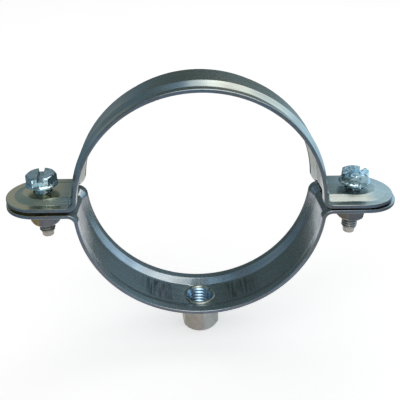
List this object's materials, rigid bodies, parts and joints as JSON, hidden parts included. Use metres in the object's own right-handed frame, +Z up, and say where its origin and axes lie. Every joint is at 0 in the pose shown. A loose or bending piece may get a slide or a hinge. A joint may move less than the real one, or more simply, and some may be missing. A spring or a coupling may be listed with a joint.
{
  "type": "two-part pipe clamp",
  "caption": "Two-part pipe clamp of ribbed, zinc-plated steel strip: two half rings with round-ended ears, ear screws with nuts, and a hexagonal threaded boss for a rod.",
  "frame": {"origin": "middle of the pipe seat, on the pipe's axis and halfway along the strip's width", "axes": "+Y along the pipe, +Z up from the threaded boss to the crown of the upper half, +X towards the right-hand ears"},
  "size_m": [0.1484, 0.0254, 0.1076],
  "materials": {
    "strap_zinc": "zinc plated, satin, drawn along the strip",
    "screw_zinc": "zinc plated, bright",
    "nut_zinc": "zinc plated, satin, faintly yellow",
    "boss_zinc": "zinc plated, satin, turned"
  },
  "bodies": {
    "lower_half": {"lower_strap": "strap_zinc", "threaded_boss": "boss_zinc"},
    "upper_half": {"upper_strap": "strap_zinc"},
    "left_screw": {"left_screw": "screw_zinc"},
    "right_screw": {"right_screw": "screw_zinc"},
    "left_nut": {"left_nut": "nut_zinc"},
    "right_nut": {"right_nut": "nut_zinc"}
  },
  "joints": [
    {"name": "upper_half_lift", "type": "slide", "parent": "lower_half", "child": "upper_half", "axis": [0, 0, 1], "range_m": [-0.0005, 0.0022]},
    {"name": "left_screw_turn", "type": "hinge", "parent": "lower_half", "child": "left_screw", "pos_m": [-0.0593, 0, 0], "axis": [0, 0, -1], "range_deg": [-2160, 480]},
    {"name": "right_screw_turn", "type": "hinge", "parent": "lower_half", "child": "right_screw", "pos_m": [0.0593, 0, 0], "axis": [0, 0, -1], "range_deg": [-2160, 480]},
    {"name": "left_nut_travel", "type": "slide", "parent": "lower_half", "child": "left_nut", "axis": [0, 0, 1], "range_m": [-0.0061, 0.0014]},
    {"name": "right_nut_travel", "type": "slide", "parent": "lower_half", "child": "right_nut", "axis": [0, 0, 1], "range_m": [-0.0061, 0.0014]}
  ],
  "couplings": [
    {"joint": "left_nut_travel", "follows": "left_screw_turn", "m_per_rad": 0.00015915},
    {"joint": "right_nut_travel", "follows": "right_screw_turn", "m_per_rad": 0.00015915}
  ]
}
